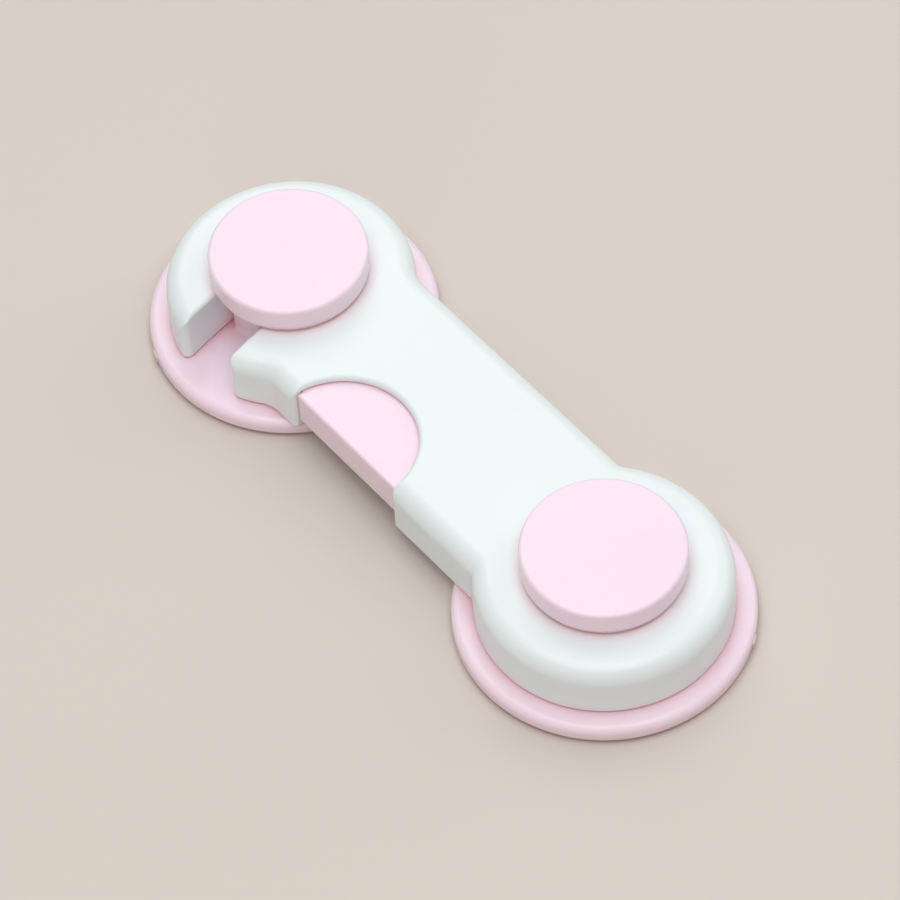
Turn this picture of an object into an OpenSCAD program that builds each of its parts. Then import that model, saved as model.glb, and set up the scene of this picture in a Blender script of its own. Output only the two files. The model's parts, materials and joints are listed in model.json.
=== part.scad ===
// Stick-on cabinet safety lock: two round anchors and the arm that joins them.
// The arm turns on the pivot post, and a slot in its other head takes the catch lug. A thumb button
// on the -Y side draws a sprung bolt out of the lug, and the arm can then swing away towards +Y.
// X runs from the catch to the pivot, midway between the two posts. Z is up from the mounting face.

/* [Anchors] */
// Distance from the catch lug to the pivot post
post_spacing = 68.2; // [64:0.1:80]
// Diameter of each mounting disc
disc_d = 42; // [38:0.5:50]
// Thickness of each mounting disc
disc_t = 2.2; // [1.8:0.1:3]
// Radius of the rolled top edge of a mounting disc
disc_edge_r = 1.1; // [0.4:0.1:1.4]
// Diameter of the pivot post
post_d = 8.6; // [8:0.1:10]
// Diameter of the ring round the post that the arm bears on
thrust_ring_d = 12; // [11:0.5:16]
// Width of the gate mark on the rim of a mounting disc
gate_w = 1.6; // [1:0.1:2.4]
// How far a gate mark stands out of the rim
gate_out = 0.2; // [0.1:0.05:0.3]

/* [Adhesive pads] */
// Diameter of each foam adhesive pad
pad_d = 36; // [28:0.5:38]
// Thickness of each foam adhesive pad
pad_t = 1; // [0.8:0.1:1.6]
// Depth of the shallow recess that takes the pad
pad_recess_h = 0.4; // [0.2:0.05:0.6]
// Thickness of the release liner under each pad
liner_t = 0.15; // [0.1:0.05:0.3]
// Width of the pull tab on the release liner
liner_tab_w = 9; // [6:0.5:12]

/* [Caps] */
// Diameter of each cap
cap_d = 22.9; // [20:0.1:26]
// Thickness of each cap at its rim
cap_t = 3.7; // [3:0.1:4.4]
// Radius of the top edge of a cap
cap_top_r = 0.5; // [0.3:0.1:1.2]
// Radius of the bottom edge of a cap
cap_bottom_r = 0.3; // [0.2:0.1:0.6]
// Diameter of the skirt under the rim of a cap
cap_skirt_d = 22.2; // [20:0.1:22.4]
// Height of the skirt under the rim of a cap
cap_skirt_h = 0.6; // [0.4:0.1:1.6]
// Diameter of the boss in the middle of a cap
cap_boss_d = 9; // [8.8:0.1:12]
// Wall left round the coring under a cap
cap_wall_t = 1.5; // [1.2:0.1:1.8]
// Diameter of the stem that enters the post
stem_d = 4.9; // [4.6:0.1:5.2]

/* [Arm] */
// Width of the straight part of the arm
arm_w = 27; // [25:0.5:30]
// Diameter of the round head at each end of the arm
head_d = 35.9; // [34:0.1:40]
// Thickness of the arm
arm_t = 8.3; // [8:0.1:10]
// Radius of the rolled top edge of the arm
arm_roll_r = 2.7; // [1.5:0.1:3]
// Radius of the hollow corner between the catch head and the straight part
catch_blend_r = 6; // [2:0.1:8]
// Radius of the hollow corner between the pivot head and the straight part
pivot_blend_r = 2.6; // [1.5:0.1:8]
// Thickness of the outer wall of the arm shell
wall_t = 1.6; // [1.2:0.1:2]
// Thickness of the top skin of the arm shell
skin_t = 1; // [0.8:0.1:1.4]
// Thickness of the bottom cover
cover_t = 1.3; // [1.1:0.1:1.6]
// Thickness of the boss round the pivot post
pivot_boss_t = 1.8; // [1.2:0.1:2.4]

/* [Slot and lug] */
// Width of the slot in the catch head
slot_w = 8.9; // [8.6:0.1:10]
// Radius of the top edges of the slot
slot_edge_r = 0.6; // [0.4:0.1:1.4]
// Radius of the two corners at the mouth of the slot
slot_mouth_r = 1.1; // [1:0.1:2]
// Thickness of the walls along the slot
slot_wall_t = 1.3; // [1:0.1:1.6]
// Reach of the lug towards the mouth of the slot
lug_front = 8; // [7.6:0.1:9]
// Reach of the lug towards the closed end of the slot
lug_back = 7; // [6:0.1:7.5]
// Radius of the upright corners of the lug
lug_corner_r = 0.8; // [0.4:0.1:1.2]
// Radius of the fillet at the foot of the lug's front face
lug_foot_r = 0.8; // [0.4:0.1:1.2]
// Depth of the step in the lug that the bolt locks behind
lug_step_w = 2.6; // [2:0.1:2.8]

/* [Button] */
// Place of the button along the arm, from midway between the posts
button_x = -5.9; // [-7:0.1:-4]
// Diameter of the half-moon thumb opening
thumb_d = 21.8; // [19:0.1:23]
// Radius of the top edge of the thumb opening
thumb_edge_r = 0.7; // [0.3:0.1:0.8]
// Radius of the two corners where the thumb opening meets the side of the arm
thumb_corner_r = 1; // [0.8:0.1:1.4]
// How far the front of the button lies behind the side of the arm
button_recess = 0.85; // [0.5:0.05:1.2]
// Radius of the top front edge of the button
button_edge_r = 0.35; // [0.2:0.05:1.2]
// Thickness of the front wall of the button
button_wall_t = 1.6; // [1.2:0.1:1.8]
// Thickness of the top plate of the button
button_plate_t = 1.4; // [1.2:0.1:1.6]
// Reach of the button plate behind the middle of the arm
button_back = 1.6; // [1.4:0.1:2]
// Width of the rail on each side that keeps the button in the arm
button_rail_w = 2.4; // [2.2:0.1:3]
// How far each rail stands out past the thumb opening
button_ear_w = 1.6; // [1.2:0.1:1.8]
// Travel of the button
button_travel = 6; // [5:0.1:6.2]

/* [Bolt and spring] */
// Thickness of the bolt plate
bolt_t = 2.55; // [2.2:0.05:2.6]
// Width of the bolt nose
nose_w = 2.7; // [2.4:0.1:2.8]
// Height of the bolt nose
nose_h = 4.3; // [4:0.1:4.6]
// Place of the middle of the bolt nose in front of the middle of the arm
nose_y = 6; // [5.8:0.1:6.1]
// Travel of the bolt
bolt_travel = 3; // [2.8:0.1:3.2]
// Diameter of the cam pin under the button
cam_pin_d = 3; // [2.6:0.1:3.2]
// Outer diameter of the bolt spring
spring_d = 4.2; // [3.8:0.1:4.3]
// Diameter of the spring wire
spring_wire_d = 0.45; // [0.35:0.05:0.5]
// Length of the spring at rest
spring_l = 11; // [10:0.5:12]
// Number of turns of the spring
spring_turns = 7; // [6:1:8]

/* [Screws] */
// Diameter of the screw that holds each cap
cap_screw_d = 2.5; // [2.2:0.1:2.6]
// Diameter of the head of a cap screw
cap_head_d = 4.8; // [4.4:0.1:5]
// Height of the head of a cap screw
cap_head_h = 1.6; // [1.2:0.1:1.7]
// Length of a cap screw under its head
cap_screw_l = 7; // [6:0.5:7.5]
// Diameter of the screws that hold the bottom cover
cover_screw_d = 1.9; // [1.6:0.1:2.1]
// Diameter of the head of a cover screw
cover_head_d = 3.6; // [3.2:0.1:3.8]
// Height of the head of a cover screw
cover_head_h = 0.6; // [0.4:0.1:0.7]
// Length of a cover screw under its head
cover_screw_l = 4.6; // [4:0.1:5]

/* [Clearances] */
// Radial clearance of the arm on the pivot post
run_gap = 0.075; // [0.02:0.005:0.1]
// Free play of the arm between a disc and a cap
float_gap = 0.3; // [0.2:0.05:0.4]
// Clearance round sliding pieces
slide_gap = 0.2; // [0.15:0.01:0.25]
// Clearance round fixed pieces that fit together
seat_gap = 0.1; // [0.05:0.01:0.15]
// Clearance of the lug in the slot on each side
lug_gap = 0.3; // [0.2:0.05:0.4]

/* [Hidden] */
$fn = 96;

pink = [0.96, 0.83, 0.89];
white = [0.94, 0.96, 0.97];
foam = [0.86, 0.88, 0.88];
paper = [0.97, 0.93, 0.82];
steel = [0.72, 0.73, 0.75];

// Overrun of every cut
cut_over = 0.5;
// How far the rounded corners of the arm run into the faces beside them
blend_sink = 0.06;
pivot_x = post_spacing / 2;
catch_x = -pivot_x;
disc_r = disc_d / 2;
post_r = post_d / 2;
cap_r = cap_d / 2;
stem_r = stem_d / 2;
head_r = head_d / 2;
half_w = arm_w / 2;
thumb_r = thumb_d / 2;

// Heights from the mounting face
disc_z = liner_t + pad_t - pad_recess_h;
disc_top = disc_z + disc_t;
arm_z = disc_top + float_gap;
arm_top = arm_z + arm_t;
skin_z = arm_top - skin_t;
rib_top = arm_top - skin_t / 2;
cover_top = arm_z + cover_t;
boss_z = arm_top + float_gap;
cap_z = boss_z + cap_skirt_h;

// Screw and stem inside each post
head_pocket_h = disc_t;
web_t = 1.2;
screw_seat_z = disc_z + head_pocket_h;
stem_bore_z = screw_seat_z + web_t;
stem_z = stem_bore_z + seat_gap;
stem_wall_t = 0.8;
drive_w = 0.6;
drive_share = 0.7;

// Places of the gate marks, as angles about each post
pivot_gate_a = 34;
catch_gate_a = -110;

// Slot and lug, as distances from the pivot and angles about it
slot_in_r = post_spacing - slot_w / 2;
slot_out_r = post_spacing + slot_w / 2;
lug_in_r = slot_in_r + lug_gap;
lug_out_r = slot_out_r - lug_gap;
lug_step_r = lug_in_r + lug_step_w;
lug_front_a = arc_angle(lug_front);
lug_back_a = arc_angle(lug_back);
slot_back_a = arc_angle(lug_back + lug_gap);
slot_wall_a = arc_angle(lug_back + lug_gap + slot_wall_t);
mouth_a = arc_angle(head_r + slot_wall_t);
lug_step_a = asin((nose_y - nose_w / 2 - slide_gap) / lug_step_r);

// Button and its guides
button_top = skin_z - slide_gap;
bolt_z = cover_top + slide_gap;
bolt_top = bolt_z + bolt_t;
slider_z = bolt_top + float_gap;
button_y = -half_w + button_recess;
button_half_w = thumb_r - slide_gap;
rail_out = thumb_r + button_ear_w;
rail_y = -half_w + wall_t + slide_gap;
guide_t = 1.2;
guide_in = rail_out + slide_gap;

// Bolt, cam and spring
nose_tip_x = pivot_x - (lug_step_r - slide_gap) * cos(asin(nose_y / lug_step_r));
elbow_x = pivot_x + slide_gap
    - sqrt((slot_in_r - slot_wall_t) ^ 2 - (nose_y + nose_w / 2) ^ 2);
nose_end_x = button_x - guide_in - guide_t - slide_gap - bolt_travel;
tail_half_w = 4.4;
tail_front_y = nose_w / 2 - nose_y + slide_gap;
cam_y = -1;
cam_gap_r = cam_pin_d / 2 + slide_gap;
cam_wall_t = 1.6;
cam_plate_front = cam_y - cam_gap_r - cam_wall_t;
cam_plate_back = cam_y + button_travel + cam_gap_r + cam_wall_t;
tab_t = 1.4;
tab_x = button_x + guide_in + guide_t + 2 * slide_gap;
spring_x = tab_x + tab_t;
spring_z = bolt_z + nose_h / 2;
spigot_r = spring_d / 2 - spring_wire_d - slide_gap;
spigot_l = 2;
spring_seat_x = spring_x + spring_l;
spring_seat_w = 6;
spring_sides = 6;
spring_steps = 12;
nose_chamfer = 1.2;

// Cover screws and their bosses
cover_boss_r = 2.3;
cover_web_t = cover_t - cover_head_h;
finger_boss_x = (catch_x - head_r + wall_t + pivot_x - slot_out_r - slot_wall_t) / 2;
cover_screw_places = [
    [spring_seat_x - cover_boss_r, -half_w + wall_t + cover_boss_r],
    [nose_end_x, half_w - wall_t - cover_boss_r + seat_gap],
    [finger_boss_x, cover_boss_r],
    [pivot_x + (post_r + pivot_boss_t + head_r - wall_t) / 2, 0],
];

// Angle about the pivot that an arc of length s takes at the catch
function arc_angle(s) = s / post_spacing * 180 / PI;

// Point on the mouth side that lies ra from the pivot axis and rb from the middle of the catch head
function mouth_point(ra, rb) =
    let (a = (ra ^ 2 - rb ^ 2 + post_spacing ^ 2) / (2 * post_spacing))
    [pivot_x - a, -sqrt(ra ^ 2 - a ^ 2)];

function unit(v) = v / norm(v);

// Half profile of a body of half width w and height h, with its top corner rounded by r
module rolled_profile(w, h, r) {
    square([w, h - r]);
    square([w - r, h]);
    if (r > 0) translate([w - r, h - r]) intersection() {
        circle(r);
        square(r);
    }
}

// Half profile of a cut of half width w that opens out by e where it meets the top, at height h
module flared_profile(w, h, e) {
    square([w, h + cut_over]);
    if (e > 0) translate([w, h - e]) difference() {
        square([e, e + cut_over]);
        translate([e, 0]) circle(e);
    }
}

// The plan of the arm, moved in by inset, as a plate from z up by h, with its top edge rolled by r
module arm_form(inset, z, h, r) {
    hr = head_r - inset;
    hw = half_w - inset;
    translate([0, 0, z]) {
        translate([catch_x, 0, 0]) rotate([90, 0, 90]) linear_extrude(post_spacing) {
            for (m = [0, 1]) mirror([m, 0]) rolled_profile(hw, h, r);
        }
        for (side = [0, 180]) rotate([0, 0, side]) {
            br = (side == 0 ? pivot_blend_r : catch_blend_r) + inset;
            cy = hw + br - blend_sink;
            cx = pivot_x - sqrt((hr + br - blend_sink) ^ 2 - cy ^ 2);
            translate([pivot_x, 0, 0]) rotate_extrude() rolled_profile(hr, h, r);
            for (m = [0, 1]) mirror([0, m, 0]) difference() {
                linear_extrude(h) polygon([[cx, 0], [pivot_x, 0], [cx, cy]]);
                translate([cx, cy, -cut_over]) rotate_extrude() flared_profile(br, h + cut_over, r);
            }
        }
    }
}

// What is cut away to round an upright corner: c is the middle of the round, u and v point to its faces
module corner_cut(c, u, v, r, z, h, roll) {
    reach = r + cut_over;
    difference() {
        translate([0, 0, z - cut_over]) linear_extrude(h + 2 * cut_over)
            polygon([c, c + u * reach, c + (u + v) * reach / (1 + u * v), c + v * reach]);
        translate([c.x, c.y, z - 2 * cut_over]) rotate_extrude()
            rolled_profile(r, h + 2 * cut_over, roll);
    }
}

// Places children in a frame on the pivot axis, with its X towards the catch and +Y towards the mouth
module about_pivot() {
    translate([pivot_x, 0, 0]) rotate([0, 0, 180]) children();
}

// Ring segment about the pivot axis between two distances, two angles and two heights
module pivot_sector(r0, r1, a0, a1, z0, z1) {
    about_pivot() rotate([0, 0, a0]) rotate_extrude(angle = a1 - a0)
        translate([r0, z0]) square([r1 - r0, z1 - z0]);
}

// A bar with round ends of radius r from a to b in plan
module round_bar(a, b, r, h) {
    d = b - a;
    translate([a.x, a.y, 0]) rotate([0, 0, atan2(d.y, d.x)]) {
        translate([0, -r, 0]) cube([norm(d), 2 * r, h]);
        cylinder(r = r, h = h);
        translate([norm(d), 0, 0]) cylinder(r = r, h = h);
    }
}

// Mounting disc with its pad recess and the gate mark on its rim
module disc(gate_a) {
    difference() {
        translate([0, 0, disc_z]) {
            rotate_extrude() rolled_profile(disc_r, disc_t, disc_edge_r);
            rotate([0, 0, gate_a]) translate([disc_r - gate_w / 2, -gate_w / 2, 0])
                cube([gate_w / 2 + gate_out, gate_w, disc_t - disc_edge_r]);
        }
        translate([0, 0, disc_z - cut_over])
            cylinder(r = pad_d / 2 + slide_gap, h = pad_recess_h + cut_over);
    }
}

// Screw pocket, screw hole and stem bore up the middle of an anchor
module anchor_bore() {
    translate([0, 0, disc_z - cut_over])
        cylinder(r = cap_head_d / 2 + seat_gap, h = head_pocket_h + cut_over);
    translate([0, 0, disc_z]) cylinder(r = cap_screw_d / 2 + seat_gap, h = boss_z - disc_z);
    translate([0, 0, stem_bore_z]) cylinder(r = stem_r + seat_gap / 2, h = boss_z - stem_bore_z + cut_over);
}

module pivot_base() {
    color(pink) translate([pivot_x, 0, 0]) difference() {
        union() {
            disc(pivot_gate_a);
            translate([0, 0, disc_top - pad_recess_h]) {
                cylinder(d = thrust_ring_d, h = pad_recess_h + float_gap - seat_gap);
                cylinder(r = post_r, h = boss_z - disc_top + pad_recess_h);
            }
        }
        anchor_bore();
    }
}

// The lug is a piece of the ring that the slot sweeps, stepped on the pivot side for the bolt
module lug() {
    foot_z = disc_top - pad_recess_h;
    difference() {
        pivot_sector(lug_in_r, lug_out_r, -lug_back_a, lug_front_a, foot_z, boss_z);
        pivot_sector(lug_in_r - cut_over, lug_step_r, lug_step_a, lug_front_a + lug_step_a,
            foot_z - cut_over, boss_z + cut_over);
        about_pivot() {
            lug_corner(lug_out_r, lug_front_a, 1, 1);
            lug_corner(lug_step_r, lug_front_a, -1, 1);
            lug_corner(lug_out_r, -lug_back_a, 1, -1);
            lug_corner(lug_in_r, -lug_back_a, -1, -1);
        }
    }
}

// Rounds one upright corner of the lug: side_r is the distance of its side from the pivot axis,
// out is 1 on the far side, and along is 1 on the front face
module lug_corner(side_r, end_a, out, along) {
    inset = lug_corner_r - blend_sink / 2;
    rc = side_r - out * inset;
    a = end_a - along * asin(inset / rc);
    face = along * [-sin(end_a), cos(end_a)];
    corner_cut(rc * [cos(a), sin(a)], out * [cos(a), sin(a)], face, lug_corner_r,
        disc_top, boss_z - disc_top, 0);
}

// Hollow fillet between the front face of the lug and the disc
module lug_foot() {
    about_pivot() rotate([0, 0, lug_front_a]) translate([lug_step_r + lug_corner_r, 0, disc_top])
        rotate([90, 0, 90]) linear_extrude(lug_out_r - lug_step_r - 2 * lug_corner_r) difference() {
            translate([-lug_corner_r, -pad_recess_h])
                square([lug_corner_r + lug_foot_r, pad_recess_h + lug_foot_r]);
            translate([lug_foot_r, lug_foot_r]) circle(lug_foot_r);
        }
}

module catch_base() {
    color(pink) difference() {
        union() {
            translate([catch_x, 0, 0]) disc(catch_gate_a);
            lug();
            lug_foot();
        }
        translate([catch_x, 0, 0]) anchor_bore();
    }
}

// Cap with a rounded rim over a skirt, cored round its boss, and a stem that takes the screw
module cap() {
    pilot_top = screw_seat_z + cap_screw_l + stem_wall_t;
    skirt_r = cap_skirt_d / 2;
    color(pink) difference() {
        union() {
            rotate_extrude() difference() {
                union() {
                    translate([0, cap_z]) {
                        translate([0, cap_bottom_r])
                            rolled_profile(cap_r, cap_t - cap_bottom_r, cap_top_r);
                        mirror([0, 1]) translate([0, -cap_t / 2])
                            rolled_profile(cap_r, cap_t / 2, cap_bottom_r);
                    }
                    translate([0, boss_z]) square([skirt_r, cap_skirt_h + cap_wall_t]);
                }
                translate([cap_boss_d / 2, boss_z - cut_over])
                    square([skirt_r - cap_wall_t - cap_boss_d / 2,
                        cap_skirt_h + cap_t - cap_wall_t + cut_over]);
            }
            translate([0, 0, stem_z]) cylinder(r = stem_r, h = cap_z - stem_z);
        }
        translate([0, 0, stem_z - cut_over])
            cylinder(r = cap_screw_d / 2 + seat_gap / 2, h = pilot_top - stem_z + cut_over);
    }
}

module pivot_cap() { translate([pivot_x, 0, 0]) cap(); }
module catch_cap() { translate([catch_x, 0, 0]) cap(); }

// Pan head screw with a cross drive, head down
module screw(d, length, head_d, head_h, seat_z) {
    drive_l = head_d * drive_share;
    difference() {
        union() {
            translate([0, 0, seat_z - head_h]) cylinder(d = head_d, h = head_h);
            translate([0, 0, seat_z]) cylinder(d = d, h = length);
        }
        for (turn = [0, 90]) rotate([0, 0, turn])
            translate([-drive_l / 2, -drive_w / 2, seat_z - head_h - cut_over])
                cube([drive_l, drive_w, head_h * drive_share + cut_over]);
    }
}

module cap_screw() { color(steel) screw(cap_screw_d, cap_screw_l, cap_head_d, cap_head_h, screw_seat_z); }
module pivot_cap_screw() { translate([pivot_x, 0, 0]) cap_screw(); }
module catch_cap_screw() { translate([catch_x, 0, 0]) cap_screw(); }

module adhesive_pad() { color(foam) translate([0, 0, liner_t]) cylinder(d = pad_d, h = pad_t); }
module pivot_adhesive_pad() { translate([pivot_x, 0, 0]) adhesive_pad(); }
module catch_adhesive_pad() { translate([catch_x, 0, 0]) adhesive_pad(); }

// Liner with a round-ended pull tab that stays under the disc
module release_liner() {
    tab_r = liner_tab_w / 2;
    color(paper) {
        cylinder(d = pad_d, h = liner_t);
        round_bar([0, 0], [0, disc_r - disc_edge_r - tab_r], tab_r, liner_t);
    }
}

module pivot_release_liner() { translate([pivot_x, 0, 0]) release_liner(); }
module catch_release_liner() { translate([catch_x, 0, 0]) release_liner(); }

// Walls on both sides and at the closed end of the slot, inside the outer wall of the head
module slot_walls() {
    intersection() {
        pivot_sector(slot_in_r - slot_wall_t, slot_out_r + slot_wall_t, -slot_wall_a, mouth_a,
            arm_z, rib_top);
        translate([catch_x, 0, arm_z]) cylinder(r = head_r - wall_t + seat_gap, h = arm_t);
    }
}

// The slot, cut through the arm along the swing of the lug, with rounded top edges
module slot_cut() {
    about_pivot() translate([0, 0, arm_z - cut_over]) rotate([0, 0, -slot_back_a])
        rotate_extrude(angle = slot_back_a + mouth_a) translate([post_spacing, 0])
            for (m = [0, 1]) mirror([m, 0])
                flared_profile(slot_w / 2, arm_t + cut_over, slot_edge_r);
}

// Rounds the finger tip and the other corner at the mouth of the slot
module mouth_corners() {
    pivot = [pivot_x, 0];
    head = [catch_x, 0];
    inset = slot_mouth_r - blend_sink / 2;
    for (side = [1, -1]) {
        c = mouth_point(post_spacing + side * (slot_w / 2 + inset), head_r - inset);
        corner_cut(c, side * unit(pivot - c), unit(c - head), slot_mouth_r, arm_z, arm_t, slot_mouth_r / 2);
    }
}

// Half-moon thumb opening in the side of the arm
module thumb_cut(z, h, edge_r) {
    translate([button_x, -half_w, z - cut_over]) rotate_extrude()
        flared_profile(thumb_r, h + cut_over, edge_r);
}

module thumb_corners() {
    inset = thumb_corner_r - blend_sink / 2;
    for (side = [1, -1]) {
        c = [button_x + side * sqrt((thumb_r + inset) ^ 2 - inset ^ 2), inset - half_w];
        corner_cut(c, unit([button_x, -half_w] - c), [0, -1], thumb_corner_r, arm_z, arm_t, thumb_edge_r);
    }
}

// Ribs under the skin: two beside the button, one beside the bolt nose and one behind the cam plate
module guides() {
    guide_back = button_back + button_travel + guide_t;
    guide_y = wall_t - seat_gap - half_w;
    for (side = [1, -1])
        translate([button_x + side * (guide_in + guide_t / 2) - guide_t / 2, guide_y, slider_z])
            cube([guide_t, guide_back - guide_y, rib_top - slider_z]);
    nose_guide_x = pivot_x - slot_in_r + slot_wall_t / 2;
    translate([nose_guide_x, -nose_y - nose_w / 2 - slide_gap - guide_t, bolt_z])
        cube([nose_end_x - nose_guide_x, guide_t, rib_top - bolt_z]);
    translate([button_x - thumb_r, cam_plate_back + slide_gap, bolt_z])
        cube([thumb_d, guide_t, rib_top - bolt_z]);
}

// Rib with a spigot that carries the fixed end of the spring
module spring_seat() {
    translate([spring_seat_x, -spring_seat_w / 2, bolt_z])
        cube([tab_t, spring_seat_w, rib_top - bolt_z]);
    translate([spring_seat_x + tab_t / 2, 0, spring_z]) rotate([0, -90, 0])
        cylinder(r = spigot_r, h = spigot_l + tab_t / 2);
}

module arm_shell() {
    pilot_h = cover_screw_l - cover_web_t + seat_gap;
    color(white) difference() {
        union() {
            difference() {
                arm_form(0, arm_z, arm_t, arm_roll_r);
                arm_form(wall_t, arm_z - cut_over, arm_t - skin_t + cut_over, 0);
            }
            slot_walls();
            translate([pivot_x, 0, arm_z])
                cylinder(r = post_r + run_gap + pivot_boss_t, h = arm_t - skin_t / 2);
            for (p = cover_screw_places) translate([p.x, p.y, cover_top])
                cylinder(r = cover_boss_r, h = rib_top - cover_top);
            guides();
            spring_seat();
        }
        slot_cut();
        mouth_corners();
        thumb_cut(arm_z, arm_t, thumb_edge_r);
        thumb_corners();
        translate([pivot_x, 0, arm_z - cut_over])
            cylinder(r = post_r + run_gap, h = arm_t + 2 * cut_over);
        for (p = cover_screw_places) translate([p.x, p.y, cover_top - cut_over])
            cylinder(r = cover_screw_d / 2 + seat_gap / 2, h = pilot_h + cut_over);
        translate([nose_tip_x, -nose_y - nose_w / 2 - slide_gap, bolt_z - slide_gap])
            cube([nose_end_x - nose_tip_x, nose_w + 2 * slide_gap, nose_h + 2 * slide_gap]);
    }
}

// Flat cover let into the underside of the shell, cut away at the slot and under the thumb
module arm_bottom_cover() {
    gap = slot_wall_t + seat_gap;
    color(white) difference() {
        arm_form(wall_t + seat_gap, arm_z, cover_t, 0);
        pivot_sector(slot_in_r - gap, slot_out_r + gap, -arc_angle(lug_back + lug_gap + gap), mouth_a,
            arm_z - cut_over, cover_top + cut_over);
        thumb_cut(arm_z, cover_t, 0);
        translate([pivot_x, 0, arm_z - cut_over])
            cylinder(r = post_r + run_gap + pivot_boss_t + seat_gap, h = cover_t + 2 * cut_over);
        for (p = cover_screw_places) translate([p.x, p.y, arm_z - cut_over]) {
            cylinder(r = cover_head_d / 2 + seat_gap, h = cover_head_h + cut_over);
            cylinder(r = cover_screw_d / 2 + seat_gap, h = cover_t + 2 * cut_over);
        }
    }
}

module cover_screws() {
    color(steel) for (p = cover_screw_places) translate([p.x, p.y, 0])
        screw(cover_screw_d, cover_screw_l, cover_head_d, cover_head_h, arm_z + cover_head_h);
}

// Thumb button: a front wall and a top plate, with a rail on each side and the cam pin below
module release_button() {
    front_z = bolt_z;
    plate_z = button_top - button_plate_t;
    length = button_back - button_y;
    color(pink) {
        translate([button_x - button_half_w, 0, 0]) rotate([90, 0, 90])
            linear_extrude(2 * button_half_w) difference() {
                union() {
                    translate([button_y, plate_z]) square([length, button_plate_t]);
                    translate([button_y, front_z]) square([button_wall_t, button_top - front_z]);
                    translate([button_back - button_wall_t, slider_z])
                        square([button_wall_t, button_top - slider_z]);
                }
                translate([button_y, button_top - button_edge_r]) difference() {
                    translate([-cut_over, 0]) square([button_edge_r + cut_over, button_edge_r + cut_over]);
                    translate([button_edge_r, 0]) circle(button_edge_r);
                }
            }
        for (side = [1, -1])
            translate([button_x + side * (rail_out - button_rail_w / 2) - button_rail_w / 2, rail_y, slider_z])
                cube([button_rail_w, button_back - rail_y, button_top - slider_z]);
        translate([button_x, cam_y, bolt_z + slide_gap])
            cylinder(d = cam_pin_d, h = plate_z - bolt_z);
    }
}

// Locking bolt: a tall nose with a lead-in, a low plate with the slanted cam slot, and a spring tab
module latch_bolt() {
    cam_start = [button_x, cam_y];
    cam_end = cam_start + [-bolt_travel, button_travel];
    cam_half_w = bolt_travel / 2 + cam_gap_r + cam_wall_t;
    nose_front_y = -nose_y - nose_w / 2;
    color(pink) difference() {
        union() {
            translate([nose_tip_x, nose_front_y, bolt_z]) difference() {
                cube([nose_end_x - nose_tip_x, nose_w, nose_h]);
                rotate([0, 0, 45]) translate([-nose_chamfer, -nose_chamfer / sqrt(2), -cut_over])
                    cube([2 * nose_chamfer, nose_chamfer, nose_h + 2 * cut_over]);
            }
            translate([elbow_x, nose_front_y, bolt_z])
                cube([nose_end_x - elbow_x, tail_half_w - nose_front_y, bolt_t]);
            translate([elbow_x, tail_front_y, bolt_z])
                cube([tab_x + tab_t - elbow_x, tail_half_w - tail_front_y, bolt_t]);
            translate([button_x - bolt_travel / 2 - cam_half_w, cam_plate_front, bolt_z])
                cube([2 * cam_half_w, cam_plate_back - cam_plate_front, bolt_t]);
            translate([tab_x, -spring_seat_w / 2, bolt_z]) cube([tab_t, spring_seat_w, nose_h]);
            translate([tab_x + tab_t / 2, 0, spring_z]) rotate([0, 90, 0])
                cylinder(r = spigot_r, h = spigot_l + tab_t / 2);
        }
        translate([0, 0, bolt_z - cut_over])
            round_bar(cam_start, cam_end, cam_gap_r, bolt_t + 2 * cut_over);
    }
}

// Compression spring round the two spigots, as one tube swept along a helix
function spring_mid(t) =
    let (a = 360 * spring_turns * t, r = (spring_d - spring_wire_d) / 2, e = spring_wire_d / 2 + seat_gap)
    [spring_x + e + (spring_l - 2 * e) * t, r * cos(a), spring_z + r * sin(a)];

function spring_ring(t) =
    let (
        a = 360 * spring_turns * t,
        outward = [0, cos(a), sin(a)],
        rise = (spring_l - spring_wire_d - 2 * seat_gap) / (2 * PI * spring_turns),
        along = unit([rise, -sin(a) * (spring_d - spring_wire_d) / 2, cos(a) * (spring_d - spring_wire_d) / 2]),
        across = cross(along, outward)
    )
    [for (k = [0 : spring_sides - 1]) let (b = 360 * k / spring_sides)
        spring_mid(t) + spring_wire_d / 2 * (cos(b) * outward + sin(b) * across)];

module bolt_spring() {
    last = spring_turns * spring_steps;
    n = spring_sides;
    points = [for (i = [0 : last]) each spring_ring(i / last)];
    sides = [for (i = [0 : last - 1], k = [0 : n - 1])
        let (a = i * n + k, b = i * n + (k + 1) % n) each [[a, b, a + n], [b, b + n, a + n]]];
    ends = [for (k = [1 : n - 2]) each [[0, k + 1, k], [last * n, last * n + k, last * n + k + 1]]];
    gap = norm(spring_mid(1 / spring_turns) - spring_mid(0)) - spring_wire_d;
    echo(least_gap_between_spring_turns = gap);
    color(steel) polyhedron(points = points, faces = concat(sides, ends));
}

pivot_base();
pivot_cap();
pivot_cap_screw();
pivot_adhesive_pad();
pivot_release_liner();
catch_base();
catch_cap();
catch_cap_screw();
catch_adhesive_pad();
catch_release_liner();
arm_shell();
arm_bottom_cover();
cover_screws();
release_button();
latch_bolt();
bolt_spring();
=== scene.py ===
import json
import math

import bmesh
import bpy
from mathutils import Matrix, Vector


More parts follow.
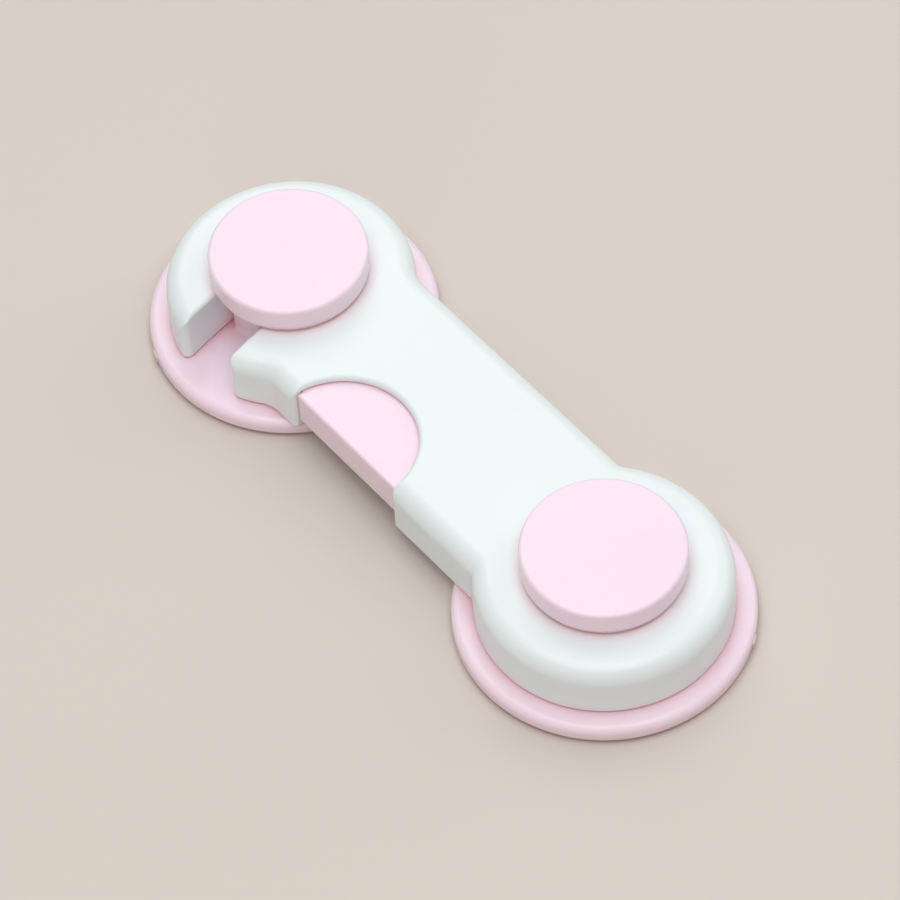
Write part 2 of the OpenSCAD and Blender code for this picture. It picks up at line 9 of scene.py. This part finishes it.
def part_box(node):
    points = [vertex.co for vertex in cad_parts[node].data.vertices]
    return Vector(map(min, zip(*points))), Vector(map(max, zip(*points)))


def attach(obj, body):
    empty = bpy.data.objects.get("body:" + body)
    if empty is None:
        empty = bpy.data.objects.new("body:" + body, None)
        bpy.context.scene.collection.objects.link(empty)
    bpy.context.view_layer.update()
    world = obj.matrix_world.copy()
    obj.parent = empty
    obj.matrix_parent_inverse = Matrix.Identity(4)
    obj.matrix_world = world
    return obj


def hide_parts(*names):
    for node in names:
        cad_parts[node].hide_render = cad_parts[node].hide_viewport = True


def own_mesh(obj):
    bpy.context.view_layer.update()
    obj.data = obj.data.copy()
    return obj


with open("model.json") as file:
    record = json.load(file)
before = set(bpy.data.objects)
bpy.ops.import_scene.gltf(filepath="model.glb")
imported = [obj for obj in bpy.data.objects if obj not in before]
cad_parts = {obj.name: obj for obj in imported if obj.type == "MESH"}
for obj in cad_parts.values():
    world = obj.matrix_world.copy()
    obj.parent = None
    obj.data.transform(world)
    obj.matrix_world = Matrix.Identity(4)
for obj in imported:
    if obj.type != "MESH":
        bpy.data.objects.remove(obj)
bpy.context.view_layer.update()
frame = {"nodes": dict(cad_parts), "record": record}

mm = 0.001
nodes = frame["nodes"]
print("frame loaded:", len(nodes), "nodes")


# small helpers for objects

def addObject(name, data):
    thing = bpy.data.objects.new(name, data)
    bpy.context.collection.objects.link(thing)
    return thing


def addMesh(name, bm):
    mesh = bpy.data.meshes.new(name)
    bm.to_mesh(mesh)
    bm.free()
    return addObject(name, mesh)


# camera at the photo's angle

cameraLook = {
    "azimuth": 53.21,
    "elevation": 53.68,
    "roll": -3.65,
    "distance": 586.25 * mm,
    "target": (-0.87 * mm, 1.55 * mm, 0.75 * mm),
    "lens": 166.14,
    "sensor": 36.0,
    "clip": (0.01, 50),
}


def makeCamera(look):
    a, e, r = (math.radians(look[k]) for k in ("azimuth", "elevation", "roll"))
    back = Vector((math.sin(a) * math.cos(e), -math.cos(a) * math.cos(e), math.sin(e)))
    right = Vector((math.cos(a), math.sin(a), 0))
    up = back.cross(right)
    turnedRight = right * math.cos(r) + up * math.sin(r)
    turnedUp = up * math.cos(r) - right * math.sin(r)
    data = bpy.data.cameras.new("photoCamera")
    data.lens = look["lens"]
    data.sensor_width = look["sensor"]
    data.clip_start, data.clip_end = look["clip"]
    camera = addObject("photoCamera", data)
    place = Matrix((turnedRight, turnedUp, back)).transposed().to_4x4()
    place.translation = Vector(look["target"]) + back * look["distance"]
    camera.matrix_world = place
    bpy.context.scene.camera = camera


makeCamera(cameraLook)
print("camera set")


# small helpers for node trees

def newMaterial(name):
    mat = bpy.data.materials.new(name)
    mat.use_nodes = True
    tree = mat.node_tree
    return mat, tree, tree.nodes["Principled BSDF"]


def addNode(tree, kind, **sockets):
    node = tree.nodes.new(kind)
    for socket, value in sockets.items():
        node.inputs[socket.replace("_", " ")].default_value = value
    return node


def objectCoords(tree):
    return tree.nodes.new("ShaderNodeTexCoord").outputs["Object"]


def addNoise(tree, coords, scale, detail, roughness=0.5, stretch=(1, 1, 1)):
    squeeze = tree.nodes.new("ShaderNodeMapping")
    squeeze.inputs["Scale"].default_value = stretch
    noise = addNode(tree, "ShaderNodeTexNoise", Scale=scale, Detail=detail, Roughness=roughness)
    tree.links.new(coords, squeeze.inputs["Vector"])
    tree.links.new(squeeze.outputs["Vector"], noise.inputs["Vector"])
    return noise.outputs["Fac"]


def addRange(tree, value, low, high, start=0.3, end=0.7):  # most of a noise lies in 0.3 to 0.7
    spread = addNode(tree, "ShaderNodeMapRange",
                     From_Min=start, From_Max=end, To_Min=low, To_Max=high)
    tree.links.new(value, spread.inputs["Value"])
    return spread.outputs["Result"]


def addMix(tree, factor, second):
    mix = tree.nodes.new("ShaderNodeMix")
    mix.data_type = "RGBA"
    mix.inputs["B"].default_value = (*second, 1)
    tree.links.new(factor, mix.inputs["Factor"])
    return mix


def addTwoTone(tree, factor, first, second):
    mix = addMix(tree, factor, second)
    mix.inputs["A"].default_value = (*first, 1)
    return mix.outputs["Result"]


def addBump(tree, height, depth, before=None):
    bump = addNode(tree, "ShaderNodeBump", Strength=1.0, Distance=depth)
    tree.links.new(height, bump.inputs["Height"])
    if before is not None:
        tree.links.new(before, bump.inputs["Normal"])
    return bump.outputs["Normal"]


# moulded plastic: slightly translucent, with a soft tone drift, uneven gloss,
# faint orange peel and painted shade tinting the hollows

pinkLook = {
    "tone": (0.908, 0.752, 0.848),
    "toneDrift": (0.901, 0.738, 0.837),
    # the coral hollow tone is painted shade and bounce light laid into the colour of hollows
    "paintedShadeTone": (0.98, 0.53, 0.60),
    "gloss": (0.215, 0.26),
    "peelDepth": 0.0010 * mm,
    "edgeSoftness": 0.35 * mm,
    "scatter": 0.5,
    "scatterReach": 0.8 * mm,
    "scatterColor": (1.0, 0.70, 0.72),
}
whiteLook = {
    "tone": (0.812, 0.876, 0.888),
    "toneDrift": (0.802, 0.868, 0.881),
    # the pinkish hollow tone is painted shade and pink bounce light laid into the colour of
    # hollows
    "paintedShadeTone": (0.95, 0.76, 0.79),
    "gloss": (0.285, 0.335),
    "peelDepth": 0.0012 * mm,
    "edgeSoftness": 0.15 * mm,
    "scatter": 0.3,
    "scatterReach": 0.5 * mm,
    "scatterColor": (1.0, 0.90, 0.86),
}
plasticShared = {
    "drift": 45,
    "driftDetail": 2,
    "cloud": 160,
    "cloudDetail": 3,
    "peel": 1500,
    "peelDetail": 2,
    "ior": 1.52,
}
# reach and levels of the painted shade in hollows
paintedShadeLevels = {"reach": 4.0 * mm, "open": 0.76, "deep": 0.15}


def addPaintedShade(tree, tone, paintedShadeTone):
    # painted shade: the colour turns coral where faces look at each other, standing in for bounce
    # light and shade in hollows
    shade = addNode(tree, "ShaderNodeAmbientOcclusion", Distance=paintedShadeLevels["reach"])
    depth = addRange(tree, shade.outputs["AO"], 1, 0, paintedShadeLevels["deep"], paintedShadeLevels["open"])
    mix = addMix(tree, depth, paintedShadeTone)
    tree.links.new(tone, mix.inputs["A"])
    return mix.outputs["Result"]


def mouldedPlastic(name, look):
    mat, tree, shader = newMaterial(name)
    grain = plasticShared
    coords = objectCoords(tree)
    drift = addRange(tree, addNoise(tree, coords, grain["drift"], grain["driftDetail"]), 0, 1)
    cloud = addNoise(tree, coords, grain["cloud"], grain["cloudDetail"])
    peel = addNoise(tree, coords, grain["peel"], grain["peelDetail"])
    softEdge = addNode(tree, "ShaderNodeBevel", Radius=look["edgeSoftness"])
    tone = addTwoTone(tree, drift, look["tone"], look["toneDrift"])
    # painted shade: the colour turns toward the hollow tone where ambient occlusion is deep
    paintedShadeColor = addPaintedShade(tree, tone, look["paintedShadeTone"])
    gloss = addRange(tree, cloud, *look["gloss"])
    bump = addBump(tree, peel, look["peelDepth"], softEdge.outputs["Normal"])
    tree.links.new(paintedShadeColor, shader.inputs["Base Color"])
    tree.links.new(gloss, shader.inputs["Roughness"])
    tree.links.new(bump, shader.inputs["Normal"])
    shader.inputs["IOR"].default_value = grain["ior"]
    shader.inputs["Subsurface Weight"].default_value = look["scatter"]
    shader.inputs["Subsurface Radius"].default_value = look["scatterColor"]
    shader.inputs["Subsurface Scale"].default_value = look["scatterReach"]
    return mat


# foam tape

foamLook = {
    "tone": (0.72, 0.75, 0.75),
    "cellTone": (0.62, 0.65, 0.66),
    "cellScale": 4200,
    "cellEdge": 0.7,
    "cellDepth": 0.03 * mm,
    "rough": 0.82,
    "sheen": 0.15,
}


def foamTape(name, look):
    mat, tree, shader = newMaterial(name)
    coords = objectCoords(tree)
    cells = addNode(tree, "ShaderNodeTexVoronoi", Scale=look["cellScale"])
    tree.links.new(coords, cells.inputs["Vector"])
    wall = addRange(tree, cells.outputs["Distance"], 0, 1, 0.0, look["cellEdge"])
    tone = addTwoTone(tree, wall, look["cellTone"], look["tone"])
    tree.links.new(tone, shader.inputs["Base Color"])
    tree.links.new(addBump(tree, wall, look["cellDepth"]), shader.inputs["Normal"])
    shader.inputs["Roughness"].default_value = look["rough"]
    shader.inputs["Sheen Weight"].default_value = look["sheen"]
    return mat


# liner film and the hidden metal: one stretched grain carries tone, gloss and relief

filmLook = {
    "tone": (0.86, 0.78, 0.60),
    "grainTone": (0.80, 0.70, 0.52),
    "gloss": (0.32, 0.5),
    "grain": 900,
    "grainDetail": 5,
    "grainRough": 0.65,
    "grainStretch": (1, 0.12, 1),
    "grainDepth": 0.01 * mm,
    "coat": 0.3,
}
zincLook = {
    "tone": (0.62, 0.63, 0.66),
    "grainTone": (0.52, 0.54, 0.58),
    "gloss": (0.22, 0.40),
    "grain": 1800,
    "grainDetail": 4,
    "grainRough": 0.6,
    "grainStretch": (1, 1, 0.1),
    "grainDepth": 0.004 * mm,
}
wireLook = {
    "tone": (0.55, 0.56, 0.58),
    "grainTone": (0.46, 0.47, 0.50),
    "gloss": (0.18, 0.32),
    "grain": 2600,
    "grainDetail": 4,
    "grainRough": 0.6,
    "grainStretch": (0.1, 1, 1),
    "grainDepth": 0.004 * mm,
}


def grainedSurface(name, look):
    mat, tree, shader = newMaterial(name)
    grain = addNoise(tree, objectCoords(tree), look["grain"], look["grainDetail"],
                     look["grainRough"], look["grainStretch"])
    tone = addTwoTone(tree, addRange(tree, grain, 0, 1), look["tone"], look["grainTone"])
    tree.links.new(tone, shader.inputs["Base Color"])
    tree.links.new(addRange(tree, grain, *look["gloss"]), shader.inputs["Roughness"])
    tree.links.new(addBump(tree, grain, look["grainDepth"]), shader.inputs["Normal"])
    return mat, shader


def linerFilm(name, look):
    mat, shader = grainedSurface(name, look)
    shader.inputs["Coat Weight"].default_value = look["coat"]
    return mat


def platedSteel(name, look):
    mat, shader = grainedSurface(name, look)
    shader.inputs["Metallic"].default_value = 1.0
    return mat


finishes = {
    "pink_abs": mouldedPlastic("pinkMouldedAbs", pinkLook),
    "white_abs": mouldedPlastic("whiteMouldedAbs", whiteLook),
    "foam_tape": foamTape("foamTape", foamLook),
    "liner_film": linerFilm("linerFilm", filmLook),
    "zinc_steel": platedSteel("zincPlatedSteel", zincLook),
    "spring_steel": platedSteel("drawnSpringWire", wireLook),
}


def dress(piece, slot):
    piece.data.materials.clear()
    piece.data.materials.append(finishes[slot])


for part in frame["record"]["subparts"]:
    dress(nodes[part["node"]], part["material_slot"])


# foam pads with the soft bulged rim of die-cut tape

padShape = {"rimSteps": 10, "rimBulge": 0.22 * mm, "sides": 160}


def makePad(name, node, shape):
    low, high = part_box(node)
    middle = (low + high) / 2
    outer = (high.x - low.x) / 2
    profile = [(0.0, low.z)]
    for i in range(shape["rimSteps"] + 1):
        turn = -math.pi / 2 + math.pi * i / shape["rimSteps"]
        z = middle.z + (high.z - low.z) / 2 * math.sin(turn)
        profile.append((outer - shape["rimBulge"] * (1 - math.cos(turn)), z))
    profile.append((0.0, high.z))
    bm = bmesh.new()
    rings = []
    for r, z in profile:
        if r == 0:
            rings.append([bm.verts.new((middle.x, middle.y, z))])
            continue
        ring = []
        for k in range(shape["sides"]):
            a = 2 * math.pi * k / shape["sides"]
            ring.append(bm.verts.new((middle.x + r * math.cos(a), middle.y + r * math.sin(a), z)))
        rings.append(ring)
    for lower, upper in zip(rings, rings[1:]):
        for k in range(shape["sides"]):
            n = (k + 1) % shape["sides"]
            if len(lower) == 1:
                bm.faces.new((lower[0], upper[n], upper[k]))
            elif len(upper) == 1:
                bm.faces.new((lower[k], lower[n], upper[0]))
            else:
                bm.faces.new((lower[k], lower[n], upper[n], upper[k]))
    for face in bm.faces:
        face.smooth = True
    pad = addMesh(name, bm)
    dress(pad, "foam_tape")
    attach(pad, "anchors")
    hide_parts(node)


makePad("pivotFoamPad", "pivot_adhesive_pad", padShape)
makePad("catchFoamPad", "catch_adhesive_pad", padShape)
print("foam pads made")


# bolt spring: round wire, end turns closed up

springShape = {
    "turns": 7,
    "wire": 0.45 * mm,
    "outer": 4.2 * mm,
    "closedShare": 0.55,  # pitch of the end turns
    "steps": 40,  # along one turn
    "sides": 14,
    "travel": 3.0 * mm,
}


def springPlace(t, shape, low, high):
    # t runs along the wire and s along the axis, slower over the first and last turn
    ends = 1 / shape["turns"]
    rise = shape["closedShare"] * ends
    if t < ends:
        s = rise * t / ends
    elif t > 1 - ends:
        s = 1 - rise * (1 - t) / ends
    else:
        s = rise + (1 - 2 * rise) * (t - ends) / (1 - 2 * ends)
    a = 2 * math.pi * shape["turns"] * t
    r = (shape["outer"] - shape["wire"]) / 2
    half = shape["wire"] / 2
    return Vector((low.x + half + (high.x - low.x - 2 * half) * s,
                   (low.y + high.y) / 2 + r * math.cos(a),
                   (low.z + high.z) / 2 + r * math.sin(a)))


def makeSpring(shape):
    low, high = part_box("bolt_spring")
    count = shape["turns"] * shape["steps"]
    axis = Vector((0, (low.y + high.y) / 2, (low.z + high.z) / 2))
    bm = bmesh.new()
    rings = []
    for i in range(count + 1):
        here = springPlace(i / count, shape, low, high)
        ahead = springPlace(min(i + 1, count) / count, shape, low, high)
        behind = springPlace(max(i - 1, 0) / count, shape, low, high)
        along = (ahead - behind).normalized()
        outward = Vector((0, here.y - axis.y, here.z - axis.z)).normalized()
        across = along.cross(outward).normalized()
        ring = []
        for k in range(shape["sides"]):
            b = 2 * math.pi * k / shape["sides"]
            spoke = outward * math.cos(b) + across * math.sin(b)
            ring.append(bm.verts.new(here + spoke * shape["wire"] / 2))
        rings.append(ring)
    for first, second in zip(rings, rings[1:]):
        for k in range(shape["sides"]):
            n = (k + 1) % shape["sides"]
            bm.faces.new((first[k], first[n], second[n], second[k])).smooth = True
    bm.faces.new(list(reversed(rings[0])))
    bm.faces.new(rings[-1])
    bmesh.ops.recalc_face_normals(bm, faces=bm.faces)
    spring = addMesh("boltSpring", bm)
    dress(spring, "spring_steel")
    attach(spring, "arm")
    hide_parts("bolt_spring")
    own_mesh(spring)


makeSpring(springShape)
print("bolt spring wound")


# plain pale floor

floorLook = {
    "size": 6.0,
    "tone": (0.67, 0.605, 0.545),
    "toneDrift": (0.65, 0.588, 0.53),
    "drift": 9,
    "driftDetail": 3,
    "rough": 0.7,
}


def makeFloor(look):
    half = look["size"] / 2
    corners = [(-half, -half, 0), (half, -half, 0), (half, half, 0), (-half, half, 0)]
    mesh = bpy.data.meshes.new("paleFloor")
    mesh.from_pydata(corners, [], [(0, 1, 2, 3)])
    floor = addObject("paleFloor", mesh)
    mat, tree, shader = newMaterial("paleFloor")
    drift = addNoise(tree, objectCoords(tree), look["drift"], look["driftDetail"])
    tone = addTwoTone(tree, drift, look["tone"], look["toneDrift"])
    tree.links.new(tone, shader.inputs["Base Color"])
    shader.inputs["Roughness"].default_value = look["rough"]
    mesh.materials.append(mat)


makeFloor(floorLook)
print("floor laid")


# soft studio light

lampLooks = {
    "softboxAbove": {
        "place": (0.12, -0.12, 0.95),
        "size": 0.9,
        "watts": 5.1,
        "color": (0.945, 0.982, 1.0),
    },
    "softboxBehind": {
        "place": (-0.62, 0.34, 0.80),
        "size": 0.8,
        "watts": 2.6,
        "color": (0.95, 0.98, 1.0),
    },
    "softboxFar": {
        "place": (0.10, 0.80, 0.52),
        "size": 0.7,
        "watts": 1.5,
        "color": (0.95, 0.98, 1.0),
    },
    "softboxFront": {
        "place": (0.40, -0.62, 0.42),
        "size": 0.7,
        "watts": 0.9,
        "color": (1.0, 0.91, 0.85),
    },
}
worldLook = {"color": (1.0, 0.945, 0.90), "strength": 0.34}


def makeLamp(name, look):
    data = bpy.data.lights.new(name, "AREA")
    data.shape = "DISK"
    data.size = look["size"]
    data.energy = look["watts"]
    data.color = look["color"]
    lamp = addObject(name, data)
    lamp.location = look["place"]
    lamp.rotation_euler = (-Vector(look["place"])).to_track_quat("-Z", "Y").to_euler()


def makeWorld(look):
    world = bpy.data.worlds.new("studio")
    world.use_nodes = True
    sky = world.node_tree.nodes["Background"]
    sky.inputs["Color"].default_value = (*look["color"], 1)
    sky.inputs["Strength"].default_value = look["strength"]
    bpy.context.scene.world = world


for lampName, lampLook in lampLooks.items():
    makeLamp(lampName, lampLook)
makeWorld(worldLook)
bpy.context.scene.view_settings.view_transform = "Standard"
print("light set")
